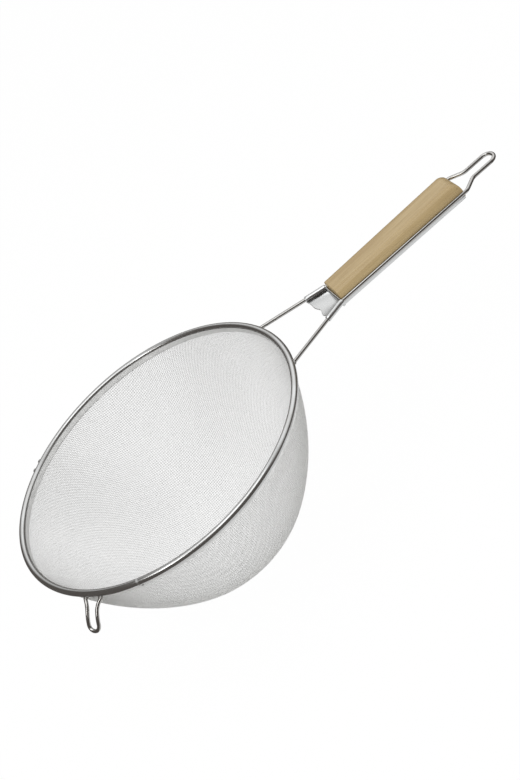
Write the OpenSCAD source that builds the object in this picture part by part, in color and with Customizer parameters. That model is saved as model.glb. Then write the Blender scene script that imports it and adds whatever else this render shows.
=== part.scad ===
// Double mesh bowl strainer with a rolled rim, a wire handle frame, a wood grip and two rest hooks.
// Millimetres. +X runs from the bowl along the handle, +Z is up out of the mouth.
// The origin is the centre of the mouth, at the middle of the rolled rim.

/* [Rim] */
// Outside diameter of the rolled rim
rim_d = 266; // [240:1:300]
// Thickness of the roll, from its inner to its outer side
bead_d = 5.6; // [5:0.1:8]
// Thickness of the rim's sheet
band_t = 0.6; // [0.4:0.05:0.8]
// How far the outer skirt of the rim reaches below the middle of the roll
skirt_drop = 6; // [5:0.5:10]
// How far the inner lip of the rim reaches below the middle of the roll
lip_drop = 4.6; // [3.5:0.1:5]

/* [Bowl] */
// Depth of the bowl from the middle of the roll to the outside of its bottom
bowl_depth = 130; // [118:1:145]
// Lean of the wall from upright where it leaves the rim, in degrees
wall_lean = 16; // [8:1:20]
// Lean of the wall where the round bottom begins, in degrees
turn_lean = 42; // [36:1:50]
// Thickness of the fine outer mesh
fine_mesh_t = 0.4; // [0.3:0.05:0.5]
// Thickness of one wire of the support mesh
support_wire_t = 0.22; // [0.15:0.01:0.25]
// Width of one wire of the support mesh
support_wire_w = 0.6; // [0.4:0.1:1]
// Spacing of the wires of the support mesh
support_pitch = 5.4; // [4.5:0.1:12]

/* [Handle wire] */
// Diameter of the handle wire
wire_d = 3.2; // [2.8:0.1:3.6]
// Distance between the two wires, middle to middle, where they meet the rim
root_spacing = 70; // [60:1:80]
// Distance between the two wires, middle to middle, along the grip
grip_spacing = 30; // [28:0.5:34]
// Distance between the two wires, middle to middle, in the hanging loop
loop_spacing = 13.8; // [12:0.2:16]
// Distance from the rear of the grip to the outside of the loop's tip
loop_length = 41; // [36:1:60]
// Distance from the rear of the grip to where the wires run parallel again
loop_taper = 14; // [12:1:18]
// Radius of the bends in the handle wire
wire_bend_r = 7; // [6:0.5:9]
// Height of the wire's middle where it meets the rim, under the middle of the roll
root_drop = 1.5; // [0.5:0.1:1.8]
// Droop of the handle, in degrees
handle_droop = 0.36; // [0:0.02:3]

/* [Grip] */
// Distance from the outside of the rim to the front of the grip
neck_length = 56; // [48:1:70]
// Length of the wood grip
grip_length = 127; // [100:1:150]
// Width of the wood grip
grip_w = 28.4; // [28:0.1:29]
// Height of the grip's top above the wires at its front
grip_rise_front = 8.4; // [7:0.1:12]
// Height of the grip's top above the wires at its rear
grip_rise_rear = 11; // [8:0.1:14]
// Radius of the grip's top edges
grip_edge_r = 7; // [4:0.5:7]

/* [Tray] */
// Thickness of the tray's sheet
tray_t = 0.8; // [0.6:0.05:1]
// Depth of the tray's floor below the middle of the wires
tray_depth = 6.6; // [6:0.1:9]
// Outside radius of the tray's lower edges
tray_corner_r = 4.5; // [3:0.5:5]
// Length of the sleeves that are curled round the wires
sleeve_length = 18; // [10:1:22]
// How far the neck plate sags between its sleeves
neck_sag = 3; // [2:0.1:4]
// Thickness of the hem that stops the front of the grip
hem_t = 2; // [1.6:0.1:2.4]

/* [Rest hooks] */
// Diameter of the hook wire
hook_d = 3; // [2.4:0.1:3.4]
// Angle of the left hook from the side of the rim opposite the handle, in degrees
hook_left_angle = 41; // [20:1:70]
// Angle of the right hook from the side of the rim opposite the handle, in degrees
hook_right_angle = 50; // [20:1:70]
// Distance between the two legs of a hook at the rim, middle to middle
hook_root_w = 16; // [12:0.5:20]
// Distance between the two legs of a hook below its flare, middle to middle
hook_leg_w = 10; // [8:0.2:12]
// Length of a hook along its wire, from the rim to its tip
hook_length = 26; // [20:1:34]
// Radius of the curve in which a hook turns down
hook_curve_r = 35; // [28:1:50]
// Slope of a hook where it leaves the rim, in degrees
hook_slope = 14; // [5:1:25]
// Height of the hook's middle where it leaves the rim, under the middle of the roll
hook_drop = 2.4; // [1.5:0.1:3]

/* [Fit] */
// Clearance between pieces that are welded or pinched together
fit = 0.05; // [0.02:0.01:0.08]

/* [Hidden] */
$fn = 96;

steel = "#C9CACB";
mesh_steel = "#DDDEDF";
beech = "#B9A37A";

rim_r = rim_d / 2;
bead_r = bead_d / 2;
bead_ring_r = rim_r - bead_r;
core_r = bead_r - band_t - fit;

// The mesh is pinched between the outer skirt and the inner lip.
skirt_r = bead_ring_r - band_t;
mesh_r = skirt_r - band_t - fit;
support_gap = fit;
support_out = fine_mesh_t + support_gap;
support_mid = support_out + support_wire_t;
support_in = support_mid + support_gap + support_wire_t;
lip_r = mesh_r - (support_in + fit) / cos(wall_lean);
mesh_top = -sqrt(pow(bead_r, 2) - pow(bead_ring_r - mesh_r, 2)) - fit;

// The wall is one large arc that leans from wall_lean to turn_lean, then the round bottom's arc.
arc_drop = bowl_depth - skirt_drop;
round_share = (1 - sin(turn_lean)) / cos(turn_lean);
wall_arc_r = (arc_drop - round_share * mesh_r)
    / (sin(turn_lean) - sin(wall_lean) - round_share * (cos(wall_lean) - cos(turn_lean)));
wall_centre = [mesh_r - wall_arc_r * cos(wall_lean), -skirt_drop + wall_arc_r * sin(wall_lean)];
bottom_r = (wall_centre.x + wall_arc_r * cos(turn_lean)) / cos(turn_lean);
bottom_z = bottom_r - bowl_depth;
seam_overlap = 5;

grip_front = rim_r + neck_length;
grip_rear = grip_front + grip_length;
tip_x = grip_rear + loop_length - wire_d / 2;
wire_r = wire_d / 2;
root_x = sqrt(pow(bead_ring_r, 2) - pow(root_spacing / 2, 2));
neck_turn = atan2((root_spacing - grip_spacing) / 2, grip_front - root_x);

trough_half_w = grip_w / 2 + fit + tray_t;
grip_floor = tray_depth - tray_t - fit;
rear_setback = 1;
hem_reach = 0.5;
neck_front = grip_front - hem_t - sleeve_length;
scallop = 2.6;
curl_gap = 0.5;
grip_end_r = 7;
grip_end_inset = 0.4;
hook_tail = 2;
hook_flare = 12;

// Half of the bent wire's route, as [x, y, bend radius], from the rim to the middle of the loop.
WIRE_HALF = [
    [root_x, root_spacing / 2, 0],
    [grip_front, grip_spacing / 2, wire_bend_r],
    [grip_rear + wire_bend_r * 0.4, grip_spacing / 2, wire_bend_r],
    [grip_rear + loop_taper, loop_spacing / 2, wire_bend_r],
    [tip_x, loop_spacing / 2, loop_spacing / 2 - 0.05]
];
WIRE_ROUTE = concat(WIRE_HALF, [for (i = [len(WIRE_HALF) - 1 : -1 : 0])
    [WIRE_HALF[i].x, -WIRE_HALF[i].y, WIRE_HALF[i].z]]);

// ---- Bowl ----

// Everything inside the bowl's outer face moved inwards by inset, as a half section.
module bowl_section(inset, top) {
    arc_r = wall_arc_r - inset;
    end_r = bottom_r - inset;
    turn_z = bottom_z - end_r * sin(turn_lean);
    collar_r = wall_centre.x + sqrt(pow(arc_r, 2) - pow(wall_arc_r * sin(wall_lean), 2));
    intersection() {
        translate(wall_centre) circle(arc_r, $fn = 720);
        translate([0, turn_z]) square([collar_r, top - turn_z]);
    }
    intersection() {
        translate([0, bottom_z]) circle(end_r, $fn = 720);
        translate([0, -2 * rim_r]) square([rim_r, turn_z + seam_overlap + 2 * rim_r]);
    }
}

// One layer of the bowl, between two distances in from its outer face.
module bowl_layer(outer_inset, inner_inset) {
    rotate_extrude($fn = 180) difference() {
        bowl_section(outer_inset, mesh_top);
        bowl_section(inner_inset, mesh_top + 1);
    }
}

module fine_mesh() {
    color(mesh_steel) bowl_layer(0, fine_mesh_t);
}

// Upright slabs that cut one wire each out of a layer.
module wire_slabs() {
    last = floor((lip_r - support_pitch) / support_pitch);
    for (i = [-last : last])
        translate([-rim_r, i * support_pitch - support_wire_w / 2, -bowl_depth])
            cube([2 * rim_r, support_wire_w, bowl_depth]);
}

module support_warp() {
    color(mesh_steel) intersection() {
        bowl_layer(support_out, support_mid);
        wire_slabs();
    }
}

module support_weft() {
    color(mesh_steel) intersection() {
        bowl_layer(support_mid + support_gap, support_in);
        rotate([0, 0, 90]) wire_slabs();
    }
}

// ---- Rim ----

// The sheet starts as the inner lip, rolls over the core wire and comes down as the outer skirt.
module rim_band() {
    color(steel) rotate_extrude($fn = 180) {
        difference() {
            union() {
                translate([bead_ring_r, 0]) circle(bead_r);
                translate([skirt_r - band_t, -skirt_drop]) square([band_t, skirt_drop]);
                translate([lip_r - band_t, -lip_drop]) square([band_t, lip_drop]);
            }
            translate([bead_ring_r, 0]) circle(bead_r - band_t);
        }
    }
}

module rim_wire() {
    color(steel) rotate_extrude($fn = 180) translate([bead_ring_r, 0]) circle(core_r);
}

// The outer side of the roll, where wires are welded on: it trims their ends to fit.
module weld_seat() {
    rotate_extrude($fn = 180) translate([bead_ring_r, 0]) circle(bead_r + fit);
    translate([0, 0, -3 * bead_d]) cylinder(h = 4 * bead_d, r = bead_ring_r + bead_r / 3, $fn = 180);
}

// ---- Bent wire ----

// A ring of points round p, in the plane across the direction along, starting at up.
function ring(p, along, up, r, sides) =
    [for (k = [0 : sides - 1]) p + r * (cos(360 * k / sides) * up + sin(360 * k / sides) * cross(along, up))];

// A closed skin over rings that all have the same number of points.
module skin(rings) {
    sides = len(rings[0]);
    last = len(rings) - 1;
    polyhedron(
        points = [for (r = rings) each r],
        faces = concat(
            [[for (k = [0 : sides - 1]) k]],
            [[for (k = [sides - 1 : -1 : 0]) last * sides + k]],
            [for (i = [0 : last - 1], k = [0 : sides - 1])
                [i * sides + k, (i + 1) * sides + k, i * sides + (k + 1) % sides]],
            [for (i = [0 : last - 1], k = [0 : sides - 1])
                [(i + 1) * sides + k, (i + 1) * sides + (k + 1) % sides, i * sides + (k + 1) % sides]]
        ));
}

// A round wire through stations of [middle, direction along, direction up].
module swept_wire(stations, r, sides) {
    skin([for (s = stations) ring(s[0], s[1], s[2], r, sides)]);
}

function heading(a, b) = atan2(b.y - a.y, b.x - a.x);
function turn_at(route, i) =
    let (t = heading(route[i], route[i + 1]) - heading(route[i - 1], route[i]))
    t > 180 ? t - 360 : t < -180 ? t + 360 : t;
function flat_station(x, y, angle) = [[x, y, 0], [cos(angle), sin(angle), 0], [0, 0, 1]];

// The stations of one rounded corner of a flat route of [x, y, bend radius].
function corner_stations(route, i) =
    let (
        turn = turn_at(route, i),
        start_angle = heading(route[i - 1], route[i]),
        r = route[i].z,
        reach = r * tan(abs(turn) / 2),
        side = turn > 0 ? 90 : -90,
        start = [route[i].x - reach * cos(start_angle), route[i].y - reach * sin(start_angle)],
        centre = start + r * [cos(start_angle + side), sin(start_angle + side)],
        steps = ceil(abs(turn) / 9)
    )
    [for (k = [0 : steps])
        let (a = start_angle + turn * k / steps)
        flat_station(centre.x - r * cos(a + side), centre.y - r * sin(a + side), a)];

function flat_stations(route) =
    let (last = len(route) - 1)
    concat(
        [flat_station(route[0].x, route[0].y, heading(route[0], route[1]))],
        [for (i = [1 : last - 1]) each corner_stations(route, i)],
        [flat_station(route[last].x, route[last].y, heading(route[last - 1], route[last]))]
    );

// The handle droops a little from the point where its wires meet the rim.
module on_handle() {
    translate([rim_r, 0, -root_drop]) rotate([0, handle_droop, 0]) translate([-rim_r, 0, 0]) children();
}

module handle_wire() {
    color(steel) difference() {
        on_handle() swept_wire(flat_stations(WIRE_ROUTE), wire_r, 16);
        weld_seat();
    }
}

// ---- Tray ----

// A cross-section seen along the handle is drawn with y across it and z up, then run along +X.
module along_handle(x, run) {
    translate([x, 0, 0]) rotate([90, 0, 90]) linear_extrude(run) children();
}

// A trough with round lower edges, filled up to top.
module trough_outline(half_w, depth, corner_r, top) {
    flat_half = half_w - corner_r;
    intersection() {
        union() {
            translate([-half_w, -depth + corner_r]) square([2 * half_w, depth]);
            translate([-flat_half, -depth]) square([2 * flat_half, depth]);
            for (side = [-1, 1]) translate([side * flat_half, -depth + corner_r]) circle(corner_r);
        }
        translate([-half_w, -depth]) square([2 * half_w, depth + top]);
    }
}

module trough() {
    difference() {
        along_handle(grip_front - hem_t, grip_length + hem_t - rear_setback)
            trough_outline(trough_half_w, tray_depth, tray_corner_r, -wire_r - 2 * fit);
        along_handle(grip_front - hem_t + tray_t, grip_length + hem_t)
            trough_outline(trough_half_w - tray_t, tray_depth - tray_t, tray_corner_r - tray_t, 0);
    }
}

// The sheet is folded into a round hem that stops the grip. It runs into both sleeves, whose bores
// trim its ends.
module hem() {
    half_w = wire_y(grip_front - hem_t) - wire_r * hem_reach;
    translate([grip_front - hem_t / 2 - fit, half_w, 0]) rotate([90, 0, 0]) linear_extrude(2 * half_w) {
        circle(hem_t / 2);
        translate([-hem_t / 2, -tray_depth + tray_t / 2]) square([hem_t, tray_depth - tray_t / 2]);
    }
}

// How far the middle of each wire lies from the handle's middle at x, over the neck.
function wire_y(x) = grip_spacing / 2 + (grip_front - x) * tan(neck_turn);

// The neck plate hangs in a shallow curve from sleeve to sleeve, and its front edge is scalloped.
function neck_point(u, v, face) =
    let (
        front_x = neck_front + scallop * (1 - pow(v, 2)) * (1 + 0.35 * sin(500 * v)),
        x = front_x + u * (grip_front - hem_t / 2 - front_x),
        z = -wire_r - 2 * fit - neck_sag * (1 - pow(v, 2))
    )
    [x, v * (wire_y(x) - tray_t), z - face * tray_t];

module neck_plate() {
    rows = 4;
    cols = 20;
    face_count = (rows + 1) * (cols + 1);
    function at(face, i, j) = face * face_count + i * (cols + 1) + j;
    polyhedron(
        points = [for (face = [0, 1], i = [0 : rows], j = [0 : cols])
            neck_point(i / rows, 2 * j / cols - 1, face)],
        faces = concat(
            [for (i = [0 : rows - 1], j = [0 : cols - 1]) [at(0, i, j), at(0, i, j + 1), at(0, i + 1, j)]],
            [for (i = [0 : rows - 1], j = [0 : cols - 1]) [at(0, i, j + 1), at(0, i + 1, j + 1), at(0, i + 1, j)]],
            [for (i = [0 : rows - 1], j = [0 : cols - 1]) [at(1, i, j), at(1, i + 1, j), at(1, i, j + 1)]],
            [for (i = [0 : rows - 1], j = [0 : cols - 1]) [at(1, i, j + 1), at(1, i + 1, j), at(1, i + 1, j + 1)]],
            [for (j = [0 : cols - 1]) [at(0, 0, j), at(1, 0, j), at(0, 0, j + 1)]],
            [for (j = [0 : cols - 1]) [at(0, 0, j + 1), at(1, 0, j), at(1, 0, j + 1)]],
            [for (j = [0 : cols - 1]) [at(0, rows, j), at(0, rows, j + 1), at(1, rows, j)]],
            [for (j = [0 : cols - 1]) [at(0, rows, j + 1), at(1, rows, j + 1), at(1, rows, j)]],
            [for (i = [0 : rows - 1]) [at(0, i, 0), at(0, i + 1, 0), at(1, i, 0)]],
            [for (i = [0 : rows - 1]) [at(0, i + 1, 0), at(1, i + 1, 0), at(1, i, 0)]],
            [for (i = [0 : rows - 1]) [at(0, i, cols), at(1, i, cols), at(0, i + 1, cols)]],
            [for (i = [0 : rows - 1]) [at(0, i + 1, cols), at(1, i, cols), at(1, i + 1, cols)]]
        ));
}

// Places children on the wire that lies on one side, with +Z along it towards the rim.
module on_neck_wire(side) {
    translate([grip_front, side * grip_spacing / 2, 0])
        rotate([0, -90, side * -neck_turn])
            children();
}

module handle_tray() {
    color(steel) on_handle() difference() {
        union() {
            trough();
            hem();
            neck_plate();
            for (side = [-1, 1]) on_neck_wire(side)
                translate([0, 0, hem_t / 2]) cylinder(h = sleeve_length + hem_t / 2, r = wire_r + fit + tray_t);
        }
        for (side = [-1, 1]) on_neck_wire(side) {
            translate([0, 0, -1]) cylinder(h = sleeve_length + 2 * hem_t, r = wire_r + fit);
            translate([wire_r / 2, side > 0 ? -wire_d : 0, -1])
                cube([curl_gap, wire_d, sleeve_length + 2 * hem_t]);
        }
    }
}

// ---- Grip ----

// Points on an arc round c, as [y, z], from angle a0 to angle a1.
function arc(c, r, a0, a1, steps) =
    [for (k = [0 : steps]) let (a = a0 + (a1 - a0) * k / steps) c + r * [cos(a), sin(a)]];

// Half of the grip's outline: round lower edge, groove for the wire, round top edge.
function grip_half(rise, inset) =
    let (
        half_w = grip_w / 2 - inset,
        low_r = tray_corner_r - tray_t,
        groove_r = wire_r + fit,
        groove_a = acos((grip_spacing / 2 - half_w) / groove_r),
        top_r = min(grip_edge_r, rise - groove_r)
    )
    concat(
        arc([half_w - low_r, -grip_floor + inset + low_r], low_r, -90, 0, 6),
        arc([grip_spacing / 2, 0], groove_r, 180 + groove_a, 180 - groove_a, 8),
        arc([half_w - top_r, rise - top_r], top_r, 0, 90, 10)
    );

// The grip's outline at x, with its top rise above the wires and its sides in by inset.
function grip_ring(x, rise, inset) =
    let (half = grip_half(rise, inset), last = len(half) - 1)
    concat(
        [for (k = [last : -1 : 0]) [x, half[k].x, half[k].y]],
        [for (k = [0 : last]) [x, -half[k].x, half[k].y]]
    );

module wood_grip() {
    color(beech) on_handle() skin(concat(
        [
            grip_ring(grip_front, grip_rise_front - grip_end_inset, grip_end_inset),
            grip_ring(grip_front + 2 * grip_end_inset, grip_rise_front, 0)
        ],
        [for (a = [0 : 15 : 90])
            grip_ring(grip_rear - grip_end_r * (1 - sin(a)), grip_rise_rear - grip_end_r * (1 - cos(a)),
                grip_end_inset * (1 - cos(a)))]
    ));
}

// ---- Hooks ----

// A point of the hook's sheet: s runs down the hook from the rim, w lies across it.
function hook_point(s, w) =
    let (a = hook_slope + s / hook_curve_r * 180 / PI)
    [rim_r - hook_tail + hook_curve_r * (sin(a) - sin(hook_slope)), w,
     -hook_drop - hook_curve_r * (cos(hook_slope) - cos(a))];
function hook_up(s) =
    let (a = hook_slope + s / hook_curve_r * 180 / PI)
    [sin(a), 0, cos(a)];
// Half the distance between the legs, which flare out towards the rim.
function leg_w(s) = (hook_leg_w + (hook_root_w - hook_leg_w) * pow(max(0, 1 - s / hook_flare), 2)) / 2;

module rest_hook() {
    round_r = hook_leg_w / 2;
    leg_end = hook_tail + hook_length - round_r - hook_d / 2;
    leg = [for (k = [0 : 12]) [leg_end * k / 12, leg_w(leg_end * k / 12)]];
    bow = [for (a = [10 : 10 : 170]) [leg_end + round_r * sin(a), round_r * cos(a)]];
    back = [for (k = [12 : -1 : 0]) [leg_end * k / 12, -leg_w(leg_end * k / 12)]];
    path = concat(leg, bow, back);
    middle = [for (p = path) hook_point(p.x, p.y)];
    last = len(path) - 1;
    function along(i) = let (d = middle[min(i + 1, last)] - middle[max(i - 1, 0)]) d / norm(d);
    function across(i) = let (c = cross(hook_up(path[i].x), along(i))) cross(along(i), c) / norm(c);
    swept_wire([for (i = [0 : last]) [middle[i], along(i), across(i)]], hook_d / 2, 12);
}

module placed_hook(angle) {
    color(steel) difference() {
        rotate([0, 0, angle]) rest_hook();
        weld_seat();
    }
}

module rest_hook_left() {
    placed_hook(180 + hook_left_angle);
}

module rest_hook_right() {
    placed_hook(180 - hook_right_angle);
}

rim_band();
rim_wire();
fine_mesh();
support_warp();
support_weft();
handle_wire();
handle_tray();
wood_grip();
rest_hook_left();
rest_hook_right();
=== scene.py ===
"""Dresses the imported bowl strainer: rim, two woven cloths, bent wires, tray, grip and hooks."""

from math import acos, asin, atan2, cos, degrees, pi, radians, sin, sqrt, tan

import bpy
import numpy as np
from bpy.props import FloatProperty, FloatVectorProperty, PointerProperty
from mathutils import Matrix, Vector


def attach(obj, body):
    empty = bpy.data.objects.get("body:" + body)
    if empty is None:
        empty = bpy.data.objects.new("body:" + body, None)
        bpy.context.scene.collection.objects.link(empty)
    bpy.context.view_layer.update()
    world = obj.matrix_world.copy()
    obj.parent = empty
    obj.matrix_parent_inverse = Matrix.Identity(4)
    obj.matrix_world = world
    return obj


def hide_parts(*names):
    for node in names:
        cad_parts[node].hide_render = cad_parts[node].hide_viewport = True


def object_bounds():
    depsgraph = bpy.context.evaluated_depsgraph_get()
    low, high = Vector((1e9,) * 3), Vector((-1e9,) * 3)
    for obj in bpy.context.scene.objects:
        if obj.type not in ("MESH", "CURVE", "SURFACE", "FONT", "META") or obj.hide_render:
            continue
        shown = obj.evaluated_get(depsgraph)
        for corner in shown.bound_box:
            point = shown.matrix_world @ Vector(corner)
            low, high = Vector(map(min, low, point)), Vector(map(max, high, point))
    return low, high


bl_info = {
    "name": "Double Mesh Bowl Strainer",
    "version": (1, 0, 0),
    "blender": (4, 5, 0),
    "location": "View3D > Sidebar > Strainer",
    "description": "Builds the pieces and finishes of a bowl strainer round its packed frame",
    "category": "Object",
}

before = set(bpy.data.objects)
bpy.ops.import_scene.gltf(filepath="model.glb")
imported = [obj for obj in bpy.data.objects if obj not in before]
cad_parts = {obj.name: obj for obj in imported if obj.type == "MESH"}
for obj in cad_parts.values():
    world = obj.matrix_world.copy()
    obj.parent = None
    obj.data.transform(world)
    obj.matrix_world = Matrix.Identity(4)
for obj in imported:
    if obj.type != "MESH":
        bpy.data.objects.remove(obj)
cad_low, cad_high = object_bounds()

MM = 0.001
CLEARANCE = 0.05 * MM
DOUBLES = 1e-6
SOLVER_STEPS = 12


# ---- Sizes and colours that a user would change ----

def length(name, default_mm, description):
    return FloatProperty(
        name=name, description=description, default=default_mm * MM, min=0.0, precision=5,
        subtype="DISTANCE", unit="LENGTH")


def angle(name, default_degrees, description):
    return FloatProperty(
        name=name, description=description, default=radians(default_degrees), subtype="ANGLE",
        unit="ROTATION")


def colour(name, hex_code, description):
    return FloatVectorProperty(
        name=name, description=description, default=linear(hex_code), size=3, min=0.0, max=1.0,
        subtype="COLOR")


def linear(hex_code):
    """The linear red, green and blue of an sRGB colour written as RRGGBB."""
    channels = [int(hex_code[k:k + 2], 16) / 255 for k in (0, 2, 4)]
    return tuple(c / 12.92 if c <= 0.04045 else ((c + 0.055) / 1.055) ** 2.4 for c in channels)


class StrainerRim(bpy.types.PropertyGroup):
    rim_radius: length("Rim radius", 133.0, "Outside radius of the rolled rim")
    bead_radius: length("Roll radius", 2.8, "Radius of the rolled bead")
    band: length("Sheet", 0.6, "Thickness of the rim's sheet")
    skirt_drop: length("Skirt drop", 6.0, "Reach of the outer skirt below the middle of the roll")
    lip_drop: length("Lip drop", 4.6, "Reach of the inner lip below the middle of the roll")
    lip_radius: length("Lip radius", 127.92, "Radius of the lip's face that presses on the cloth")
    seam: angle("Seam", -119.4, "Bearing of the butt weld that closes the hoop")


class StrainerCloth(bpy.types.PropertyGroup):
    mouth_radius: length("Mouth radius", 128.95, "Outside radius of the mesh at the rim")
    depth: length("Depth", 130.0, "From the middle of the roll to the bottom of the bowl")
    wall_lean: angle("Wall lean", 16.0, "Lean of the wall from upright at the rim")
    turn_lean: angle("Turn lean", 42.0, "Lean of the wall where the round bottom begins")
    pitch: length("Spacing", 1.83, "Spacing of the wires of the supporting cloth")
    wire: length("Wire", 0.25, "Thickness of a wire of the supporting cloth")
    fine_pitch: length("Fine spacing", 0.915, "Spacing of the wires of the straining cloth")
    fine_wire: length("Fine wire", 0.04, "Thickness of a wire of the straining cloth")
    fine_sheet: length("Fine cloth", 0.15, "Thickness of the straining cloth")
    edge_drop: length("Edge drop", 3.4, "Depth of both cloths' edges below the middle of the roll")


class StrainerHandle(bpy.types.PropertyGroup):
    wire_radius: length("Wire radius", 1.6, "Radius of the handle wire")
    root_half: length("Root", 35.0, "Half the distance between the wires at the rim")
    grip_half: length("Along the grip", 15.0, "Half the distance between the wires along the grip")
    loop_half: length("Loop", 6.9, "Half the distance between the wires in the hanging loop")
    grip_front: length("Grip front", 189.0, "Distance of the grip's front from the bowl's centre")
    grip_rear: length("Grip rear", 316.0, "Distance of the grip's rear from the bowl's centre")
    loop_tip: length("Loop tip", 355.4, "Distance of the wire's middle at the loop's tip")
    root_drop: length("Root drop", 1.5, "Height of the wires' middle under the middle of the roll")
    droop: angle("Droop", 0.36, "Droop of the handle")


class StrainerTray(bpy.types.PropertyGroup):
    sheet: length("Sheet", 0.8, "Thickness of the tray's sheet")
    depth: length("Depth", 6.6, "Depth of the tray's floor below the wires' middle")
    corner: length("Corner", 4.5, "Outside radius of the tray's lower edges")
    sleeve: length("Sleeve", 18.0, "Length of the sleeves round the wires")
    sag: length("Sag", 3.6, "How far the neck plate sags between its sleeves")
    scallop: length("Scallop", 2.6, "Depth of the neck plate's wavy front edge")
    hem: length("Hem", 2.0, "Thickness of the hem in front of the grip")


class StrainerGrip(bpy.types.PropertyGroup):
    width: length("Width", 28.4, "Width of the wood grip")
    rise_front: length("Front rise", 8.4, "Height of the grip above the wires at its front")
    rise_rear: length("Rear rise", 11.0, "Height of the grip above the wires at its rear")
    edge: length("Edge", 7.0, "Radius of the grip's top edges")


class StrainerHooks(bpy.types.PropertyGroup):
    wire_radius: length("Wire radius", 1.5, "Radius of the hook wire")
    left: angle("Left hook", 41.0, "Angle of the left hook from the side opposite the handle")
    right: angle("Right hook", 50.0, "Angle of the right hook from the side opposite the handle")
    root_left: length("Left root", 19.0, "Distance between the left hook's legs at the rim")
    root_right: length("Right root", 12.0, "Distance between the right hook's legs at the rim")
    leg_width: length("Legs", 10.0, "Distance between the legs below the flare")
    reach: length("Reach", 26.0, "Length along the wire from the rim to the tip")


class StrainerColours(bpy.types.PropertyGroup):
    steel: colour("Polished steel", "C0C1C1", "The rim's polished strip")
    wire: colour("Drawn steel", "B2B1AF", "Thick wire of the handle and the hooks")
    sheet: colour("Pressed steel", "CACBCB", "Pressed sheet")
    # The lip and skirt's pale tone is partly a painted highlight, to make them read as a light
    # band.
    strip: colour("Unpolished steel", "ECECEB", "The rim's lip and skirt")
    cloth: colour("Woven steel", "D6D6D4", "Wire of the cloths")
    burnt: colour("Heat tint", "8F8A84", "Steel beside a weld")
    wood_light: colour("Light wood", "B7A176", "Pale rays and early wood")
    wood_mid: colour("Middle wood", "A48C61", "The wood's main tone")
    wood_dark: colour("Dark wood", "8D744A", "Late wood and pores")


# ---- Helpers ----

def sizes(*pieces):
    """The property groups of these pieces."""
    return [getattr(bpy.context.scene, "strainer_" + piece) for piece in pieces]


def deselect():
    if bpy.context.object and bpy.context.object.mode != "OBJECT":
        bpy.ops.object.mode_set(mode="OBJECT")
    bpy.ops.object.select_all(action="DESELECT")


def pick(*objects):
    """Selects objects and nothing else, and makes the first one active."""
    deselect()
    for obj in objects:
        obj.select_set(True)
    bpy.context.view_layer.objects.active = objects[0]


def finish_piece(obj, name, finish, slot, *nodes, smooth=35.0):
    """Names a piece, applies its place, shades it and declares what it rides on and replaces."""
    pick(obj)
    obj.name = name
    obj.data.name = name
    bpy.ops.object.transform_apply(location=True, rotation=True, scale=True)
    bpy.ops.object.shade_smooth_by_angle(angle=radians(smooth))
    obj.data.materials.clear()
    obj.data.materials.append(material_named(finish))
    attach(obj, "root")
    if nodes:
        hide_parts(*nodes)


def extrude(way):
    bpy.ops.mesh.extrude_region_move(TRANSFORM_OT_translate={"value": way})


def face_outwards():
    """Merges the active mesh's doubles, turns its faces outwards and leaves edit mode."""
    bpy.ops.object.mode_set(mode="EDIT")
    bpy.ops.mesh.select_all(action="SELECT")
    bpy.ops.mesh.remove_doubles(threshold=DOUBLES)
    bpy.ops.mesh.normals_make_consistent(inside=False)
    bpy.ops.object.mode_set(mode="OBJECT")


def trace(points, close=False):
    """Draws a line of edges through points by extruding one vertex, and stays in edit mode."""
    deselect()
    bpy.ops.mesh.primitive_plane_add(size=MM, location=(0, 0, 0))
    bpy.ops.object.mode_set(mode="EDIT")
    bpy.ops.mesh.merge(type="CENTER")
    bpy.ops.transform.translate(value=Vector(points[0]))
    if close:
        points = [*points, points[0]]
    for start, end in zip(points, points[1:]):
        extrude(Vector(end) - Vector(start))
    bpy.ops.mesh.select_all(action="SELECT")
    if close:
        bpy.ops.mesh.remove_doubles(threshold=DOUBLES)
        bpy.ops.mesh.select_all(action="SELECT")
    return bpy.context.object


def bent_wire(points, radius, fineness=7):
    """A round wire along points, as a closed mesh."""
    deselect()
    bpy.ops.curve.primitive_bezier_curve_add()
    curve = bpy.context.object.data
    curve.splines.clear()
    spline = curve.splines.new("POLY")
    spline.points.add(len(points) - 1)
    for point, place in zip(spline.points, points):
        point.co = (*place, 1)
    curve.dimensions = "3D"
    curve.bevel_depth = radius
    curve.bevel_resolution = fineness
    curve.use_fill_caps = True
    bpy.ops.object.convert(target="MESH")
    face_outwards()
    return bpy.context.object


def mesh_object(name, verts, faces):
    mesh = bpy.data.meshes.new(name)
    mesh.from_pydata(verts, [], faces)
    mesh.validate()
    obj = bpy.data.objects.new(name, mesh)
    bpy.context.scene.collection.objects.link(obj)
    return obj


def skin(name, rings, caps=True):
    """A mesh through rings that all have the same number of points, with or without end caps."""
    count, sides = len(rings), len(rings[0])
    faces = []
    for i in range(count - 1):
        for k in range(sides):
            a, b = i * sides + k, i * sides + (k + 1) % sides
            faces.append((a, b, b + sides, a + sides))
    if caps:
        faces.append(tuple(range(sides))[::-1])
        faces.append(tuple((count - 1) * sides + k for k in range(sides)))
    obj = mesh_object(name, [tuple(p) for ring in rings for p in ring], faces)
    pick(obj)
    face_outwards()
    return obj


def modify(obj, kind, **settings):
    """Adds a modifier and applies it."""
    modifier = obj.modifiers.new(kind.title(), kind)
    for key, value in settings.items():
        setattr(modifier, key, value)
    pick(obj)
    bpy.ops.object.modifier_apply(modifier=modifier.name)


def ease_edges(obj, width=0.12 * MM, sharper_than=60.0):
    """Rounds the sharp edges that a press leaves."""
    modify(obj, "BEVEL", width=width, segments=2, limit_method="ANGLE",
           angle_limit=radians(sharper_than))


def joined(objects):
    pick(*objects)
    bpy.ops.object.join()
    return objects[0]


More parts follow.
